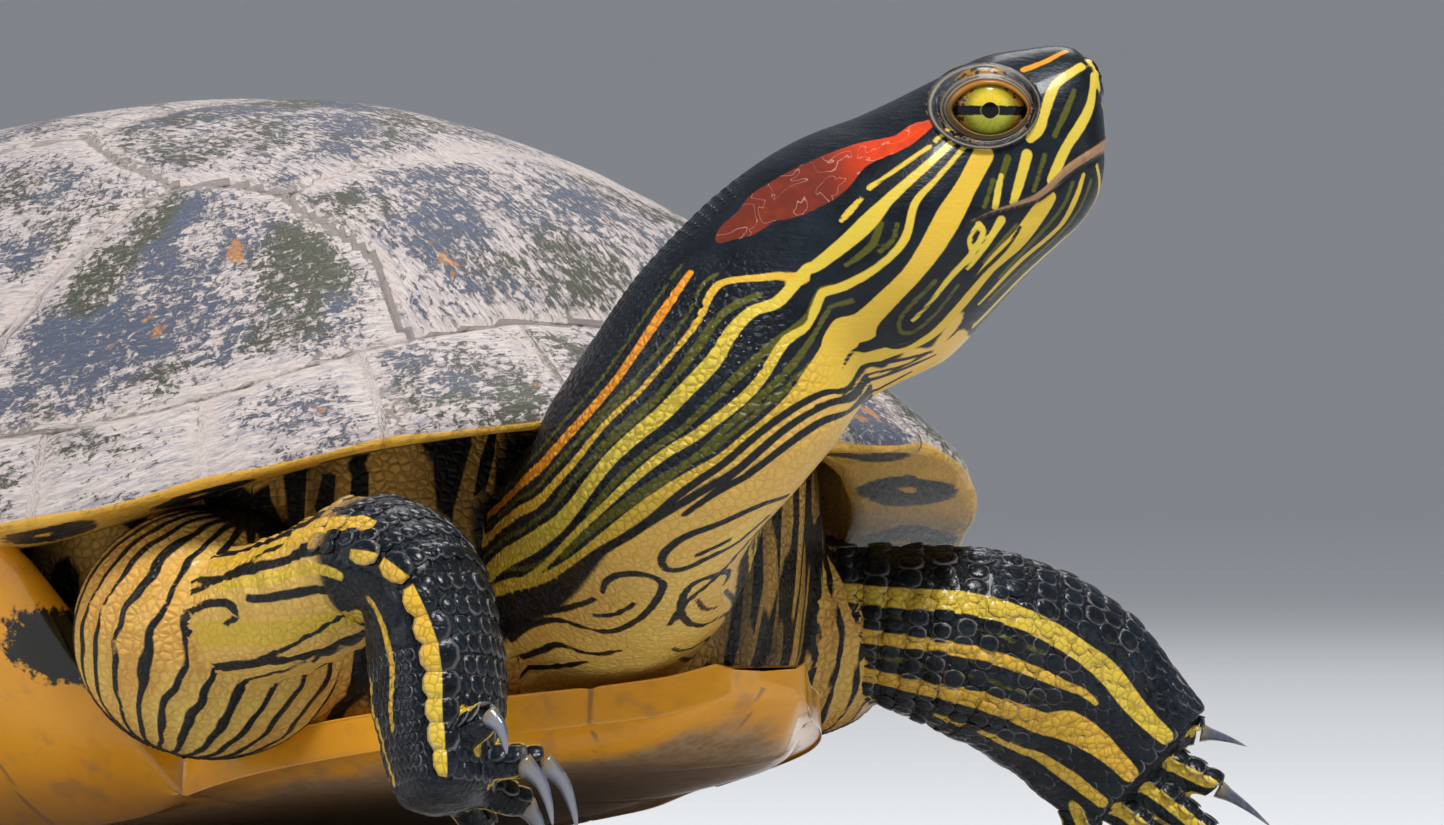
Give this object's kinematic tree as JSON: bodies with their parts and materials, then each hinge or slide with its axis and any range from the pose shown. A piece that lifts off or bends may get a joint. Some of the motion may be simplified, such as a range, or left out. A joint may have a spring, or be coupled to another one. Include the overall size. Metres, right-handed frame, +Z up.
{
  "type": "red-eared slider turtle, still model",
  "caption": "Adult red-eared slider turtle resting with raised head turned to its left, life-size still model",
  "frame": {"origin": "on the floor, on the flat of the plastron under the middle of the shell", "axes": "+X is the way the body faces, +Y is its left, +Z is up"},
  "size_m": [0.3041, 0.224, 0.1081],
  "materials": {
    "carapace": "dry, scuffed horn with pale seams and dark streaks",
    "plastron": "glossy amber horn, stained below",
    "skin": "granular blue-black skin with yellow stripes",
    "eye": "wet, yellow-green iris with a dark bar",
    "claw": "translucent grey horn"
  },
  "bodies": {
    "root": {"carapace": "carapace", "plastron": "plastron", "trunk": "skin", "neck": "skin", "head": "skin", "lower_jaw": "skin", "eye_left": "eye", "eye_right": "eye", "tail": "skin", "upper_arm_left": "skin", "forearm_left": "skin", "hand_left": "skin", "thigh_left": "skin", "shank_left": "skin", "foot_left": "skin", "claw_front_left_1": "claw", "claw_front_left_2": "claw", "claw_front_left_3": "claw", "claw_front_left_4": "claw", "claw_front_left_5": "claw", "claw_hind_left_1": "claw", "claw_hind_left_2": "claw", "claw_hind_left_3": "claw", "claw_hind_left_4": "claw", "upper_arm_right": "skin", "forearm_right": "skin", "hand_right": "skin", "thigh_right": "skin", "shank_right": "skin", "foot_right": "skin", "claw_front_right_1": "claw", "claw_front_right_2": "claw", "claw_front_right_3": "claw", "claw_front_right_4": "claw", "claw_front_right_5": "claw", "claw_hind_right_1": "claw", "claw_hind_right_2": "claw", "claw_hind_right_3": "claw", "claw_hind_right_4": "claw"}
  },
  "joints": []
}
